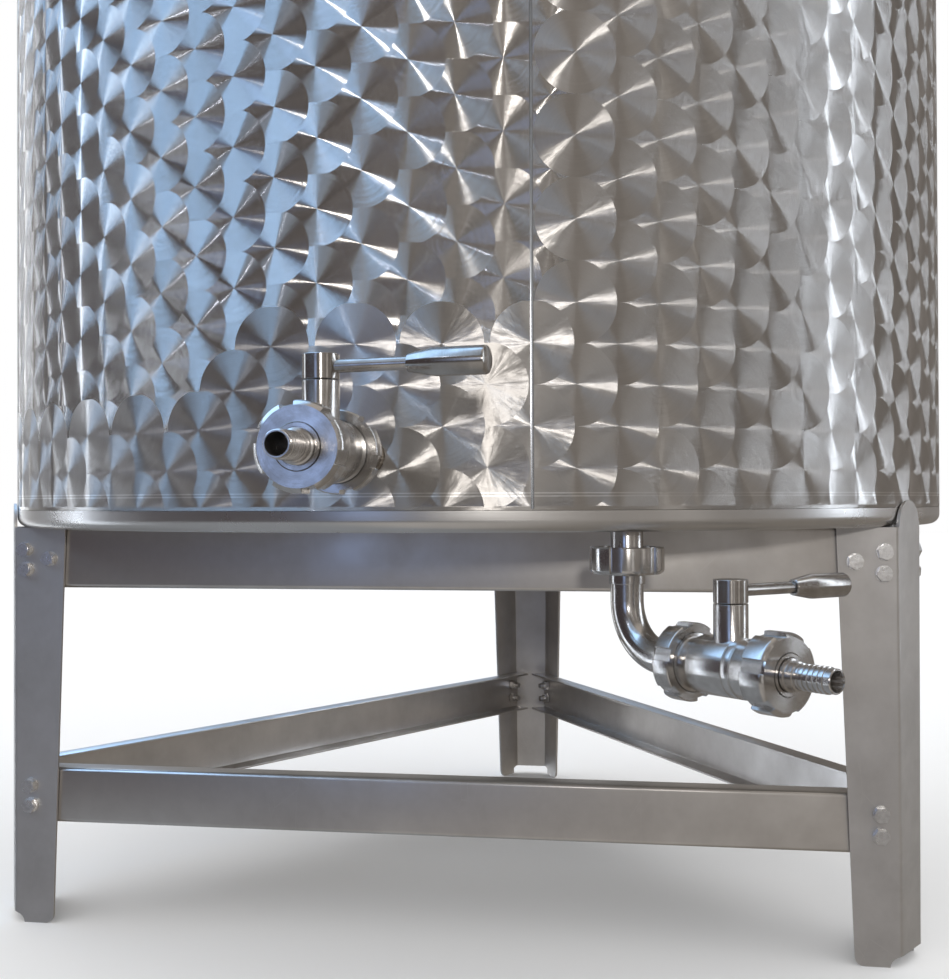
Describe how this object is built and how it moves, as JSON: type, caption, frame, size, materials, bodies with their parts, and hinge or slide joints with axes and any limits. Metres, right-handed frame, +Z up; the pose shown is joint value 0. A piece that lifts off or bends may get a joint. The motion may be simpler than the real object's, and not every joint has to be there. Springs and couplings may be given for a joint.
{
  "type": "vertical storage tank",
  "caption": "Round upright stainless storage tank with a closed flat floor and shallow top, on a triangular channel stand, with a front lever valve and a bottom drain valve.",
  "frame": {"origin": "on the floor, under the middle of the whole part's box; the tank's own axis stands 113 mm behind it", "axes": "+Z up; -Y the side with the front valve; +X to the right of someone facing that valve"},
  "size_m": [1.05, 1.2842, 1.7262],
  "materials": {
    "shell": "circle-polished stainless sheet",
    "ends": "satin stainless sheet",
    "stand": "rolled stainless sheet with light scratches",
    "tube": "bright drawn stainless tube",
    "fitting": "turned stainless",
    "valve": "turned stainless",
    "handle": "turned stainless"
  },
  "bodies": {
    "tank": {"shell_sheet_left": "shell", "shell_sheet_right": "shell", "tank_bottom": "ends", "tank_top": "ends", "leg_right": "stand", "leg_back": "stand", "leg_left": "stand", "upper_beam_front": "stand", "upper_beam_right": "stand", "upper_beam_left": "stand", "lower_beam_front": "stand", "lower_beam_right": "stand", "lower_beam_left": "stand", "front_stub": "tube", "front_inlet_nut": "fitting", "front_valve_body": "valve", "front_outlet_nut": "fitting", "front_hose_tail": "tube", "drain_stub": "tube", "drain_top_nut": "fitting", "drain_elbow": "tube", "drain_inlet_nut": "fitting", "drain_valve_body": "valve", "drain_outlet_nut": "fitting", "drain_hose_tail": "tube"},
    "front_handle": {"front_lever": "handle", "front_grip": "handle"},
    "drain_handle": {"drain_lever": "handle", "drain_grip": "handle"}
  },
  "joints": [
    {"name": "front_handle_turn", "type": "hinge", "parent": "tank", "child": "front_handle", "pos_m": [-0.007, -0.54055, 0.5336], "axis": [0, 0, 1], "range_deg": [-79, 11]},
    {"name": "drain_handle_turn", "type": "hinge", "parent": "tank", "child": "drain_handle", "pos_m": [0.28244, -0.40999, 0.3675], "axis": [0, 0, 1], "range_deg": [-87, 3]}
  ]
}
